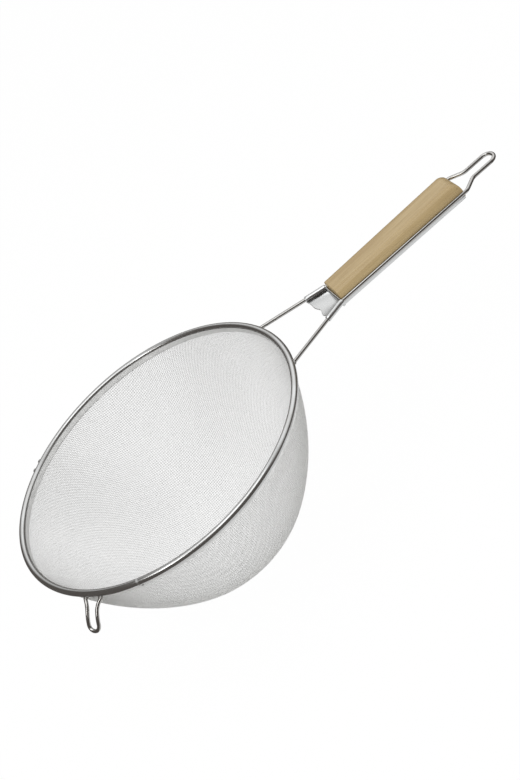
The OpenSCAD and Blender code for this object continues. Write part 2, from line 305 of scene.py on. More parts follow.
def arc(centre, radius, start, end, steps):
    """Points on an arc in a plane, from angle start to angle end, in degrees."""
    angles = [radians(start + (end - start) * k / steps) for k in range(steps + 1)]
    return [(centre[0] + radius * cos(a), centre[1] + radius * sin(a)) for a in angles]


def root_distance(rim, handle):
    """Distance along the handle's axis at which its wires meet the middle of the roll."""
    return sqrt((rim.rim_radius - rim.bead_radius) ** 2 - handle.root_half ** 2)


def handle_frame(handle, rim):
    """From the plane of the handle to its drooping place."""
    return (Matrix.Translation((rim.rim_radius, 0, -handle.root_drop))
            @ Matrix.Rotation(handle.droop, 4, "Y") @ Matrix.Translation((-rim.rim_radius, 0, 0)))


# ---- Materials ----

def plug(tree, node, inputs):
    """Gives a node's inputs values or links; a node as a value stands for its first output."""
    for socket, value in inputs.items():
        if isinstance(value, bpy.types.Node):
            value = value.outputs[0]
        if isinstance(value, bpy.types.NodeSocket):
            tree.links.new(value, node.inputs[socket])
        else:
            node.inputs[socket].default_value = value


def add_node(tree, kind, inputs, **settings):
    """Adds a node with its settings, values and links."""
    made = tree.nodes.new("ShaderNode" + kind)
    for key, value in settings.items():
        setattr(made, key, value)
    plug(tree, made, inputs)
    return made


def new_material(name):
    """A material with its nodes' tree and its shader."""
    material = bpy.data.materials.new(name)
    material.use_nodes = True
    tree = material.node_tree
    return material, tree, tree.nodes["Principled BSDF"]


def pattern_place(tree, *size_mm):
    """Object coordinates counted in a pattern's sizes along x, y and z."""
    place = add_node(tree, "TexCoord", {}).outputs["Object"]
    return add_node(tree, "Mapping", {0: place, 3: [1000 / size for size in size_mm]})


def drawn_steel(name, colours, tone, marked, roughness, marks_mm, lines_mm, metallic):
    """Stainless steel, drawn or rolled: faint lines along it and soft handling marks."""
    material, tree, shader = new_material(name)
    marks = add_node(tree, "TexNoise", {
        "Vector": pattern_place(tree, marks_mm, marks_mm, marks_mm), "Scale": 1.0, "Detail": 5.0})
    lines = add_node(tree, "TexNoise", {
        "Vector": pattern_place(tree, 40 * lines_mm, lines_mm, lines_mm), "Scale": 1.0,
        "Detail": 3.0})
    worn = add_node(tree, "MapRange", {0: marks, 1: 0.35, 2: 0.75, 4: 0.35})
    tint = add_node(tree, "Mix", {
        0: worn, 6: (*getattr(colours, tone), 1), 7: (*getattr(colours, marked), 1)},
        data_type="RGBA")
    dull = add_node(tree, "MapRange", {
        0: marks, 1: 0.3, 2: 0.7, 3: roughness * 0.75, 4: roughness * 1.35})
    bump = add_node(tree, "Bump", {"Height": lines, "Strength": 0.08, "Distance": 0.02 * MM})
    plug(tree, shader, {"Base Color": tint.outputs[2], "Roughness": dull, "Normal": bump,
                        "Metallic": metallic})
    return material


def cloth_steel(name, colours):
    """Stainless wire, drawn, bright annealed and woven: light grey with a slightly uneven sheen."""
    material, tree, shader = new_material(name)
    patches = add_node(tree, "TexNoise", {
        "Vector": pattern_place(tree, 30, 30, 30), "Scale": 1.0, "Detail": 3.0})
    worn = add_node(tree, "MapRange", {0: patches, 1: 0.35, 2: 0.7, 4: 0.25})
    tint = add_node(tree, "Mix", {
        0: worn, 6: (*colours.cloth, 1), 7: (*colours.steel, 1)}, data_type="RGBA")
    dull = add_node(tree, "MapRange", {0: patches, 1: 0.3, 2: 0.7, 3: 0.28, 4: 0.42})
    plug(tree, shader, {"Base Color": tint.outputs[2], "Roughness": dull, "Metallic": 0.45})
    return material


def fine_cloth_steel(name, colours):
    """Plain-woven fine stainless cloth: round wires that pass over and under, with open holes.

    It is woven as coarse as it needs to be for the holes to show.
    """
    material, tree, shader = new_material(name)
    cloth = bpy.context.scene.strainer_cloth
    half = cloth.fine_wire / cloth.fine_pitch / 2
    weave = add_node(tree, "SeparateXYZ", {0: add_node(tree, "UVMap", {}, uv_map="weave")})
    waves = []
    for axis in (0, 1):
        turns = add_node(tree, "Math", {0: weave.outputs[axis], 1: pi}, operation="MULTIPLY")
        waves.append(add_node(tree, "Math", {0: turns}, operation="COSINE"))
    over = add_node(tree, "Math", dict(enumerate(waves)), operation="MULTIPLY")
    # Each way's wires are half rounds, high where they pass over and low where they pass under.
    wires = []
    for axis, share in ((0, 0.4), (1, -0.4)):
        rise = weave.outputs[axis]
        for operation, by, plus in (
                ("PINGPONG", 0.5, 0), ("DIVIDE", half, 0), ("POWER", 2, 0),
                ("MULTIPLY_ADD", -1, 1), ("MAXIMUM", 0, 0), ("SQRT", 0, 0)):
            rise = add_node(tree, "Math", {0: rise, 1: by, 2: plus}, operation=operation)
        lift = add_node(tree, "Math", {0: over, 1: share, 2: 0.6}, operation="MULTIPLY_ADD")
        wires.append(add_node(tree, "Math", {0: rise, 1: lift}, operation="MULTIPLY"))
    height = add_node(tree, "Math", dict(enumerate(wires)), operation="MAXIMUM")
    cover = add_node(tree, "Math", {0: height, 1: 0.0}, operation="GREATER_THAN")
    # Painted shade: the cloth's colour goes from the darker pressed-steel tone where the weave lies
    # low, at the wires' sides and where they pass under, to the wire's own tone on top.
    tint = add_node(tree, "Mix", {
        0: height, 6: (*colours.sheet, 1), 7: (*colours.cloth, 1)}, data_type="RGBA")
    bump = add_node(tree, "Bump", {"Height": height, "Strength": 0.5, "Distance": cloth.fine_wire})
    plug(tree, shader, {"Base Color": tint.outputs[2], "Alpha": cover, "Normal": bump,
                        "Metallic": 0.4, "Roughness": 0.4})
    return material


def sanded_beech(name, colours):
    """Beech, sawn along the grain, sanded and oiled: long soft bands, dark flecks, low sheen."""
    material, tree, shader = new_material(name)
    bands = add_node(tree, "TexNoise", {
        "Vector": pattern_place(tree, 160, 6, 9), "Scale": 1.0, "Detail": 4.0, "Roughness": 0.55,
        "Distortion": 0.4})
    fibres = add_node(tree, "TexNoise", {
        "Vector": pattern_place(tree, 30, 0.9, 0.9), "Scale": 1.0, "Detail": 3.0})
    flecks = add_node(tree, "TexVoronoi", {
        "Vector": pattern_place(tree, 5, 0.9, 0.9), "Scale": 1.0})
    wood = (*colours.wood_mid, 1)
    for pattern, low, high, least, most, tone in (
            (bands, 0.32, 0.68, 0.0, 1.0, colours.wood_light),
            (fibres, 0.45, 0.75, 0.0, 0.45, colours.wood_dark),
            (flecks, 0.0, 0.22, 0.5, 0.0, colours.wood_dark)):
        share = add_node(tree, "MapRange", {0: pattern, 1: low, 2: high, 3: least, 4: most})
        wood = add_node(tree, "Mix", {
            0: share, 6: wood, 7: (*tone, 1)}, data_type="RGBA").outputs[2]
    dull = add_node(tree, "MapRange", {0: fibres, 1: 0.3, 2: 0.7, 3: 0.3, 4: 0.42})
    bump = add_node(tree, "Bump", {"Height": fibres, "Strength": 0.25, "Distance": 0.08 * MM})
    plug(tree, shader, {"Base Color": wood, "Roughness": dull, "Normal": bump})
    return material


def burnt_weld(name, colours):
    """Spot-welded stainless steel, pickled: rough, with grey and straw heat tint."""
    material, tree, shader = new_material(name)
    scale = add_node(tree, "TexNoise", {
        "Vector": pattern_place(tree, 1.2, 1.2, 1.2), "Scale": 1.0, "Detail": 5.0})
    bare = add_node(tree, "MapRange", {0: scale, 1: 0.35, 2: 0.7})
    tint = add_node(tree, "Mix", {
        0: bare, 6: (*colours.burnt, 1), 7: (*colours.steel, 1)}, data_type="RGBA")
    bump = add_node(tree, "Bump", {"Height": scale, "Strength": 0.5, "Distance": 0.2 * MM})
    plug(tree, shader, {"Base Color": tint.outputs[2], "Normal": bump, "Metallic": 1.0,
                        "Roughness": 0.45})
    return material


def directly_seen(tree):
    """1 where the camera sees a surface, directly or by way of steel, and 0 for stray light."""
    path = add_node(tree, "LightPath", {})
    seen = path.outputs["Is Camera Ray"]
    for ray in ("Is Glossy Ray", "Is Transmission Ray"):
        seen = add_node(tree, "Math", {0: seen, 1: path.outputs[ray]}, operation="MAXIMUM")
    return seen


# Tone, tone of its marks, roughness, size of the marks and of the lines in mm, and metallic.
STEELS = {
    # Polished after rolling: bright and dark bands with soft edges.
    "polished_rolled_strip": ("steel", "burnt", 0.2, 25, 0.5, 1.0),
    # Left as it came from the rolls: even and dull, and painted paler than the roll, a painted
    # highlight that makes the lip and skirt read as a light band.
    "plain_rolled_strip": ("strip", "sheet", 0.45, 12, 0.5, 0.5),
    # Drawn through a die and polished: narrow, sharp lights along the wire.
    "polished_drawn_wire": ("wire", "burnt", 0.16, 18, 0.4, 1.0),
    # Pressed from bright sheet: soft mirror images that bend with the form.
    "polished_pressed_sheet": ("sheet", "steel", 0.22, 12, 0.5, 1.0),
    # Ground flush by hand: a short dull mark across the roll.
    "ground_weld": ("sheet", "steel", 0.45, 2, 0.3, 1.0),
}
OTHER_FINISHES = {
    "woven_stainless_wire": cloth_steel,
    "fine_woven_stainless_cloth": fine_cloth_steel,
    "sanded_oiled_beech": sanded_beech,
    "pickled_weld": burnt_weld,
}


def material_named(name):
    """A finish, made when it is first asked for."""
    if name in bpy.data.materials:
        return bpy.data.materials[name]
    colours = bpy.context.scene.strainer_colours
    if name in STEELS:
        return drawn_steel(name, colours, *STEELS[name])
    return OTHER_FINISHES[name](name, colours)


# ---- Draped weave ----

class BowlShape:
    """The bowl's outer face moved inwards by inset: a large arc for the wall, a round bottom."""

    def __init__(self, cloth, rim, inset):
        lean, turn = cloth.wall_lean, cloth.turn_lean
        drop = cloth.depth - rim.skirt_drop
        share = (1 - sin(turn)) / cos(turn)
        wall = (drop - share * cloth.mouth_radius) / (
            sin(turn) - sin(lean) - share * (cos(lean) - cos(turn)))
        self.wall_centre = (cloth.mouth_radius - wall * cos(lean),
                            -rim.skirt_drop + wall * sin(lean))
        bottom = (self.wall_centre[0] + wall * cos(turn)) / cos(turn)
        self.bottom_z = bottom - cloth.depth
        self.wall = wall - inset
        self.bottom = bottom - inset
        self.turn = turn
        self.pole = Vector((0, 0, self.bottom_z - self.bottom))

    def distance(self, points):
        """Signed distance of points from the face, and the face's outward directions there."""
        r = np.maximum(np.hypot(points[:, 0], points[:, 1]), 1e-12)
        z = points[:, 2]
        low = np.arctan2(self.bottom_z - z, r) > self.turn
        dr = np.where(low, r, r - self.wall_centre[0])
        dz = np.where(low, z - self.bottom_z, z - self.wall_centre[1])
        far = np.hypot(dr, dz)
        away = np.stack([dr * points[:, 0] / r, dr * points[:, 1] / r, dz], axis=1)
        return far - np.where(low, self.bottom, self.wall), away / far[:, None]


def step_on(shape, first, second, guess, pitch):
    """Points on the shape that lie one pitch from first and from second, near guess."""
    points = guess.copy()
    for _ in range(SOLVER_STEPS):
        gap, normals = shape.distance(points)
        a, b = points - first, points - second
        system = np.stack([2 * a, 2 * b, normals], axis=1)
        wrong = np.stack([(a * a).sum(1) - pitch ** 2, (b * b).sum(1) - pitch ** 2, gap], axis=1)
        points -= np.linalg.solve(system, wrong[..., None])[..., 0]
    return points


def draped_net(shape, pitch, top):
    """Crossings of a cloth of square cells draped over the shape from its pole, as [i, j, xyz].

    The wires keep their length, so the cells shear towards the four corners of the cloth.
    """
    count = int(2.2 * shape.wall / pitch)
    net = np.full((count, count, 3), np.nan)
    net[0, 0] = shape.pole
    axis = [np.array(shape.pole)]
    while axis[-1][2] < top + 2 * pitch and len(axis) < count:
        here = axis[-1]
        ahead = here - axis[-2] if len(axis) > 1 else np.array([pitch, 0, 0])
        point = (here + ahead)[None]
        for _ in range(SOLVER_STEPS):
            gap, normals = shape.distance(point)
            point = point - gap[:, None] * normals
            off = point - here
            point = here + off * pitch / np.linalg.norm(off)
        axis.append(point[0])
    for k, point in enumerate(axis):
        net[k, 0] = point
        net[0, k] = (point[1], point[0], point[2])
    for total in range(2, 2 * count):
        i = np.arange(max(1, total - count + 1), min(total, count))
        j = total - i
        first, second, back = net[i - 1, j], net[i, j - 1], net[i - 1, j - 1]
        good = ~(np.isnan(first[:, 0]) | np.isnan(second[:, 0]))
        if not good.any():
            break
        i, j, first, second, back = i[good], j[good], first[good], second[good], back[good]
        points = step_on(shape, first, second, first + second - back, pitch)
        points[points[:, 2] > top + 3 * pitch] = np.nan
        net[i, j] = points
    return net


def whole_net(net):
    """The net with its three mirror images, indexed from -n to n, and n."""
    n = int(np.max(np.argwhere(~np.isnan(net[..., 0]))))
    full = np.full((2 * n + 1, 2 * n + 1, 3), np.nan)
    quarter = net[:n + 1, :n + 1]
    full[n:, n:] = quarter
    full[n::-1, n:] = quarter * (-1, 1, 1)
    full[n:, n::-1] = quarter * (1, -1, 1)
    full[n::-1, n::-1] = quarter * (-1, -1, 1)
    return full, n


def woven_wires(shape, full, n, thickness, top, warp):
    """Vertices and faces of all wires one way, each passing over and under the wires it crosses."""
    verts, faces = [], []
    start = 0
    for line in range(2 * n + 1):
        places = full[line] if warp else full[:, line]
        inside = np.nonzero(~np.isnan(places[:, 0]) & (places[:, 2] < top))[0]
        if len(inside) < 4:
            continue
        middle = places[inside]
        sign = (-1.0) ** (line + inside) * (1 if warp else -1)
        # Each wire is drawn on to the cloth's edge from its last crossing below it.
        for here, step in ((inside[0], -1), (inside[-1], 1)):
            beyond = here + step
            if 0 <= beyond <= 2 * n and not np.isnan(places[beyond, 0]):
                share = (top - places[here, 2]) / (places[beyond, 2] - places[here, 2])
                end = places[here] + share * (places[beyond] - places[here])
                at = 0 if step < 0 else len(middle)
                middle = np.insert(middle, at, end, axis=0)
                sign = np.insert(sign, at, 0.0)
        normals = shape.distance(middle)[1]
        middle = middle + normals * (sign * thickness / 2)[:, None]
        along = np.gradient(middle, axis=0)
        across = np.cross(normals, along)
        across /= np.linalg.norm(across, axis=1)[:, None]
        up = np.cross(along, across)
        up /= np.linalg.norm(up, axis=1)[:, None]
        half = thickness / 2
        ring = np.stack([middle + half * up, middle + half * across,
                         middle - half * up, middle - half * across], axis=1)
        count = len(middle)
        verts.append(ring.reshape(-1, 3))
        base = (start + 4 * np.arange(count - 1))[:, None]
        here = base + np.arange(4)
        after = base + (np.arange(4) + 1) % 4
        faces.append(np.stack([here, after, after + 4, here + 4], axis=2).reshape(-1, 4))
        faces.append(np.array([[3, 2, 1, 0], [0, 1, 2, 3]]) + [[start], [start + 4 * (count - 1)]])
        start += 4 * count
    return np.vstack(verts), np.vstack(faces)


# ---- Operators ----

class StrainerOperator:
    """What the operators share."""
    bl_options = {"REGISTER", "UNDO"}


class STRAINER_OT_rim(StrainerOperator, bpy.types.Operator):
    """Rolls the rim's strip over its core wire, with a lip inside and a skirt outside"""
    bl_idname = "strainer.rim"
    bl_label = "Rolled rim"

    def execute(self, context):
        rim = context.scene.strainer_rim
        ring = rim.rim_radius - rim.bead_radius
        skirt_out = ring - rim.band
        lip_out = rim.lip_radius
        lip_in = ring - rim.bead_radius
        round_edge = rim.band / 2
        round_lip = (lip_out - lip_in) / 2

        def under(radius):
            return -sqrt(rim.bead_radius ** 2 - (radius - ring) ** 2)

        skirt_bottom = -rim.skirt_drop + round_edge
        lip_bottom = -rim.lip_drop + round_lip
        start = degrees(atan2(under(skirt_out), skirt_out - ring))
        outline = arc((ring, 0), rim.bead_radius, start, 180, 40)
        outline += arc((lip_in + round_lip, lip_bottom), round_lip, 180, 360, 6)
        outline += [(lip_out, under(lip_out)), (skirt_out - rim.band, under(skirt_out - rim.band))]
        outline += arc((skirt_out - round_edge, skirt_bottom), round_edge, 180, 360, 6)
        obj = trace([(r, 0, z) for r, z in outline], close=True)
        bpy.ops.mesh.spin(steps=480, angle=2 * pi, center=(0, 0, 0), axis=(0, 0, 1))
        face_outwards()
        finish_piece(obj, "rolled_rim", "polished_rolled_strip", "rim_steel", "rim_band",
                     "rim_wire")
        # Only the roll is polished: the skirt and the lip keep the strip's duller finish, painted
        # paler than the roll as a painted highlight, and the hoop's butt weld was ground by hand.
        for finish in ("plain_rolled_strip", "ground_weld"):
            obj.data.materials.append(material_named(finish))
        weld_half = 0.8 * MM
        for face in obj.data.polygons:
            middle = face.center
            if abs(atan2(middle.y, middle.x) - rim.seam) * ring < weld_half:
                face.material_index = 2
            elif middle.z < -rim.bead_radius / 2 and abs(face.normal.z) < 0.5:
                face.material_index = 1
        return {"FINISHED"}


class STRAINER_OT_support_cloth(StrainerOperator, bpy.types.Operator):
    """Weaves the supporting cloth from separate wires, draped so that they keep their length"""
    bl_idname = "strainer.support_cloth"
    bl_label = "Supporting cloth"

    def execute(self, context):
        rim, cloth = sizes("rim", "cloth")
        shape = BowlShape(cloth, rim, cloth.fine_sheet + CLEARANCE + cloth.wire)
        top = -cloth.edge_drop
        full, n = whole_net(draped_net(shape, cloth.pitch, top))
        for warp, name, node in ((True, "support_warp_wires", "support_warp"),
                                 (False, "support_weft_wires", "support_weft")):
            verts, faces = woven_wires(shape, full, n, cloth.wire, top, warp)
            side = 0 if warp else 1
            near = verts[faces].mean(axis=1)[:, side] < 0
            # One wire lies on the middle line, so the halves are parted beside it.
            for part, half in (("a", near), ("b", ~near)):
                used, index = np.unique(faces[half], return_inverse=True)
                obj = mesh_object(name, verts[used].tolist(), index.reshape(-1, 4).tolist())
                finish_piece(obj, f"{name}_{part}", "woven_stainless_wire", "mesh_steel", node,
                             smooth=180.0)
        return {"FINISHED"}


class STRAINER_OT_fine_cloth(StrainerOperator, bpy.types.Operator):
    """Drapes the fine straining cloth over the outside of the supporting cloth"""
    bl_idname = "strainer.fine_cloth"
    bl_label = "Fine cloth"

    def execute(self, context):
        rim, cloth = sizes("rim", "cloth")
        shape = BowlShape(cloth, rim, 0.0)
        cell = 3 * MM
        top = -cloth.edge_drop
        full, n = whole_net(draped_net(shape, cell, top))
        exists = ~np.isnan(full[..., 0])
        index = np.full(exists.shape, -1)
        index[exists] = np.arange(exists.sum())
        corner = np.stack([index[:-1, :-1], index[1:, :-1], index[1:, 1:], index[:-1, 1:]], axis=-1)
        quads = corner[(corner >= 0).all(axis=-1)]
        obj = mesh_object("fine_cloth", full[exists].tolist(), quads.tolist())
        grid = np.argwhere(exists) - n
        turns = cell / cloth.fine_pitch
        layer = obj.data.uv_layers.new(name="weave")
        loops = np.zeros(len(obj.data.loops), dtype=np.int32)
        obj.data.loops.foreach_get("vertex_index", loops)
        layer.data.foreach_set("uv", (grid[loops] * turns).astype(np.float32).ravel())
        pick(obj)
        bpy.ops.object.mode_set(mode="EDIT")
        bpy.ops.mesh.select_all(action="SELECT")
        bpy.ops.mesh.bisect(plane_co=(0, 0, top), plane_no=(0, 0, 1), clear_outer=True)
        face_outwards()
        modify(obj, "SOLIDIFY", thickness=cloth.fine_sheet, offset=-1.0)
        finish_piece(obj, "fine_cloth", "fine_woven_stainless_cloth", "mesh_steel", "fine_mesh",
                     smooth=60.0)
        return {"FINISHED"}


def rounded_route(corners, step=5.0):
    """Points along a flat route of (x, y, bend radius), with its corners rounded."""
    points = [corners[0][:2]]
    for before, here, after in zip(corners, corners[1:], corners[2:]):
        start = atan2(here[1] - before[1], here[0] - before[0])
        end = atan2(after[1] - here[1], after[0] - here[0])
        turn = (end - start + pi) % (2 * pi) - pi
        radius = here[2]
        reach = radius * tan(abs(turn) / 2)
        side = pi / 2 if turn > 0 else -pi / 2
        centre = (here[0] - reach * cos(start) + radius * cos(start + side),
                  here[1] - reach * sin(start) + radius * sin(start + side))
        steps = max(2, int(abs(degrees(turn)) / step) + 1)
        for k in range(steps + 1):
            a = start + turn * k / steps - side
            points.append((centre[0] + radius * cos(a), centre[1] + radius * sin(a)))
    points.append(corners[-1][:2])
    return points


class STRAINER_OT_handle_wire(StrainerOperator, bpy.types.Operator):
    """Bends the one wire that makes both legs, both runs along the grip and the hanging loop"""
    bl_idname = "strainer.handle_wire"
    bl_label = "Handle wire"

    def execute(self, context):
        rim, handle = sizes("rim", "handle")
        root = Vector((root_distance(rim, handle), handle.root_half))
        lead = (Vector((handle.grip_front, handle.grip_half)) - root).normalized()
        # The wire ends inside the roll's outer side, where its weld covers it.
        start = root + lead * 0.6 * rim.bead_radius
        bend, straight, taper = 7 * MM, 2.8 * MM, 14 * MM
        half = [
            (start.x, start.y, 0),
            (handle.grip_front, handle.grip_half, bend),
            (handle.grip_rear + straight, handle.grip_half, bend),
            (handle.grip_rear + taper, handle.loop_half, bend),
            (handle.loop_tip, handle.loop_half, handle.loop_half - CLEARANCE),
        ]
        corners = half + [(x, -y, r) for x, y, r in reversed(half)]
        obj = bent_wire([(x, y, 0) for x, y in rounded_route(corners)], handle.wire_radius)
        obj.data.transform(handle_frame(handle, rim))
        finish_piece(obj, "bent_handle_wire", "polished_drawn_wire", "wire_steel", "handle_wire")
        return {"FINISHED"}


class STRAINER_OT_tray(StrainerOperator, bpy.types.Operator):
    """Presses the tray: trough, hem, dished neck plate and the sleeves curled round the wires"""
    bl_idname = "strainer.tray"
    bl_label = "Tray"

    def execute(self, context):
        rim, handle, tray, grip = sizes("rim", "handle", "tray", "grip")
        turn = atan2(handle.root_half - handle.grip_half,
                     handle.grip_front - root_distance(rim, handle))
        obj = joined([self.trough(handle, tray, grip), self.hem(handle, tray, turn),
                      self.neck_plate(handle, tray, turn), self.sleeve(handle, tray, turn, -1),
                      self.sleeve(handle, tray, turn, 1)])
        obj.data.transform(handle_frame(handle, rim))
        finish_piece(obj, "pressed_tray", "polished_pressed_sheet", "tray_steel", "handle_tray",
                     smooth=40.0)
        return {"FINISHED"}

    def trough(self, handle, tray, grip):
        half = grip.width / 2 + CLEARANCE + tray.sheet
        top = -handle.wire_radius - 2 * CLEARANCE
        flat = half - tray.corner
        low = -tray.depth + tray.corner
        right = [(half, top)] + arc((flat, low), tray.corner, 0, -90, 10)
        section = right + [(-y, z) for y, z in reversed(right)]
        front, rear = handle.grip_front - tray.hem, handle.grip_rear - MM
        obj = trace([(front, y, z) for y, z in section])
        for _ in range(8):
            extrude(((rear - front) / 8, 0, 0))
        face_outwards()
        # The sheet lies inside the traced face, wherever its faces were turned.
        side = 1 if obj.data.polygons[0].normal.y * obj.data.polygons[0].center.y > 0 else -1
        modify(obj, "SOLIDIFY", thickness=tray.sheet, offset=-side)
        ease_edges(obj, sharper_than=50.0)
        return obj

    def hem(self, handle, tray, turn):
        """The fold that stops the grip. It ends in the sheet of both sleeves."""
        half = (handle.grip_half + tray.hem * tan(turn)
                - handle.wire_radius - CLEARANCE - tray.sheet / 2)
        radius = tray.hem / 2
        middle = handle.grip_front - radius - CLEARANCE
        foot = -tray.depth + tray.sheet / 2
        outline = [(middle - radius, foot), *arc((middle, 0), radius, 180, 0, 12),
                   (middle + radius, foot)]
        obj = trace([(x, -half, z) for x, z in outline], close=True)
        bpy.ops.mesh.edge_face_add()
        bpy.ops.mesh.select_all(action="SELECT")
        extrude((0, 2 * half, 0))
        face_outwards()
        ease_edges(obj, width=0.2 * MM)
        return obj

    def neck_plate(self, handle, tray, turn):
        sheet = tray.sheet
        rear = handle.grip_front - tray.hem / 2
        front = handle.grip_front - tray.hem - tray.sleeve
        ripple, waves = 0.35, radians(500)
        deselect()
        bpy.ops.mesh.primitive_grid_add(x_subdivisions=24, y_subdivisions=60, size=2)
        obj = bpy.context.object
        for vertex in obj.data.vertices:
            u, v = (vertex.co.x + 1) / 2, vertex.co.y
            edge = front + tray.scallop * (1 - v * v) * (1 + ripple * sin(waves * v))
            x = edge + u * (rear - edge)
            wire = handle.grip_half + (handle.grip_front - x) * tan(turn)
            y = v * (wire - sheet)
            # The plate is pressed deepest behind its front edge and flattens towards the hem.
            z = -handle.wire_radius - 2 * CLEARANCE - tray.sag * (1 - v * v) - sheet / 2
            vertex.co = (x, y, z)
        modify(obj, "SOLIDIFY", thickness=sheet, offset=0.0)
        ease_edges(obj)
        return obj

    def sleeve(self, handle, tray, turn, side):
        """A sleeve from under its wire, round the outside and over the top, in degrees."""
        curl = range(-104, 179, 6)
        radius = handle.wire_radius + CLEARANCE + tray.sheet / 2
        along = Vector((-cos(turn), side * sin(turn), 0))
        out = Vector((sin(turn), side * cos(turn), 0))
        up = Vector((0, 0, 1))
        start = Vector((handle.grip_front, side * handle.grip_half, 0)) + along * tray.hem / 2
        ring = [start + radius * (cos(radians(a)) * out + sin(radians(a)) * up)
                for a in curl]
        obj = trace(ring)
        for _ in range(6):
            extrude(along * (tray.sleeve + tray.hem / 2) / 6)
        face_outwards()
        modify(obj, "SOLIDIFY", thickness=tray.sheet, offset=0.0)
        ease_edges(obj)
        return obj


class STRAINER_OT_grip(StrainerOperator, bpy.types.Operator):
    """Shapes the wood grip: flat top that rises to the rear, round edges, a groove for each wire"""
    bl_idname = "strainer.grip"
    bl_label = "Wood grip"

    def execute(self, context):
        rim, handle, tray, grip = sizes("rim", "handle", "tray", "grip")
        end = 0.4 * MM
        round_end = 7 * MM
        stations = []
        for k in range(6):
            a = radians(90 * k / 5)
            inset = end * (1 - sin(a))
            stations.append((handle.grip_front + end * 2 * (1 - cos(a)), inset,
                             grip.rise_front - inset))
        span = handle.grip_rear - round_end - handle.grip_front
        for k in range(1, 8):
            share = k / 8
            stations.append((handle.grip_front + share * span, 0.0,
                             grip.rise_front + share * (grip.rise_rear - grip.rise_front)))
        for k in range(13):
            a = radians(90 * k / 12)
            stations.append((handle.grip_rear - round_end * (1 - sin(a)), end * (1 - cos(a)),
                             grip.rise_rear - round_end * (1 - cos(a))))
        rings = []
        for x, inset, rise in stations:
            half = self.outline(handle, tray, grip, inset, rise)
            rings.append([(x, y, z) for y, z in reversed(half)] + [(x, -y, z) for y, z in half])
        obj = skin("grip", rings)
        obj.data.transform(handle_frame(handle, rim))
        finish_piece(obj, "beech_grip", "sanded_oiled_beech", "grip_wood", "wood_grip", smooth=40.0)
        return {"FINISHED"}

    def outline(self, handle, tray, grip, inset, rise):
        half = grip.width / 2 - inset
        low = tray.corner - tray.sheet
        floor = tray.depth - tray.sheet - CLEARANCE
        groove = handle.wire_radius + CLEARANCE
        open_angle = degrees(acos((handle.grip_half - half) / groove))
        edge = min(grip.edge, rise - groove)
        return (arc((half - low, -floor + inset + low), low, -90, 0, 8)
                + arc((handle.grip_half, 0), groove, 180 + open_angle, 180 - open_angle, 12)
                + arc((half - edge, rise - edge), edge, 0, 90, 16))


class STRAINER_OT_hooks(StrainerOperator, bpy.types.Operator):
    """Bends the two U-shaped rest hooks that hold the strainer over a pot or bowl"""
    bl_idname = "strainer.hooks"
    bl_label = "Rest hooks"

    def execute(self, context):
        rim, hooks = sizes("rim", "hooks")
        for name, node, bearing, root in (
                ("left_rest_hook", "rest_hook_left", pi + hooks.left, hooks.root_left),
                ("right_rest_hook", "rest_hook_right", pi - hooks.right, hooks.root_right)):
            turn = Matrix.Rotation(bearing, 4, "Z")
            points = [turn @ Vector(p) for p in self.route(rim, hooks, root)]
            obj = bent_wire(points, hooks.wire_radius, fineness=6)
            finish_piece(obj, name, "polished_drawn_wire", "wire_steel", node)
        return {"FINISHED"}

    def route(self, rim, hooks, root):
        tail = 2 * MM
        curve = 35 * MM
        slope = radians(14)
        drop = 2.4 * MM
        flare = 12 * MM
        bow = hooks.leg_width / 2
        leg_end = tail + hooks.reach - bow - hooks.wire_radius

        def place(s, w):
            a = slope + s / curve
            return (rim.rim_radius - tail + curve * (sin(a) - sin(slope)), w,
                    -drop - curve * (cos(slope) - cos(a)))

        def leg(s):
            widen = max(0.0, 1 - s / flare) ** 2
            return (hooks.leg_width + (root - hooks.leg_width) * widen) / 2

        down = [(leg_end * k / 20, leg(leg_end * k / 20)) for k in range(2, 21)]
        turn = [(leg_end + bow * sin(radians(a)), bow * cos(radians(a))) for a in range(8, 180, 8)]
        back = [(s, -w) for s, w in reversed(down)]
        return [place(s, w) for s, w in down + turn + back]


class STRAINER_OT_welds(StrainerOperator, bpy.types.Operator):
    """Adds the small welds that hold the handle's wires and the hooks' legs to the rim"""
    bl_idname = "strainer.welds"
    bl_label = "Welds"

    def execute(self, context):
        rim, handle, hooks = sizes("rim", "handle", "hooks")
        wires = asin(handle.root_half / rim.rim_radius)
        # Bearing, height, half width and half thickness of each bead; the last is a stray drop.
        seats = [(side * wires, -handle.root_drop, 2.6 * MM, 1.5 * MM) for side in (-1, 1)]
        for bearing, z, root in ((pi + hooks.left, -2.6 * MM, hooks.root_left),
                                 (pi - hooks.right, 0.9 * MM, hooks.root_right)):
            spread = 0.4 * root / rim.rim_radius
            seats += [(bearing + side * spread, z, 2.2 * MM, 2.1 * MM) for side in (-1, 1)]
        seats.append((-wires, 0.7 * MM, 0.9 * MM, 0.6 * MM))
        sunk, half_height = 0.5 * MM, 1.5 * MM
        parts = []
        for bearing, z, wide, thick in seats:
            deselect()
            out = rim.rim_radius - sunk
            bpy.ops.mesh.primitive_uv_sphere_add(
                segments=20, ring_count=12, radius=1.0, rotation=(0, 0, bearing),
                location=(out * cos(bearing), out * sin(bearing), z),
                scale=(thick, wide, half_height))
            parts.append(bpy.context.object)
        obj = joined(parts)
        finish_piece(obj, "weld_spots", "pickled_weld", "wire_steel", smooth=180.0)
        return {"FINISHED"}


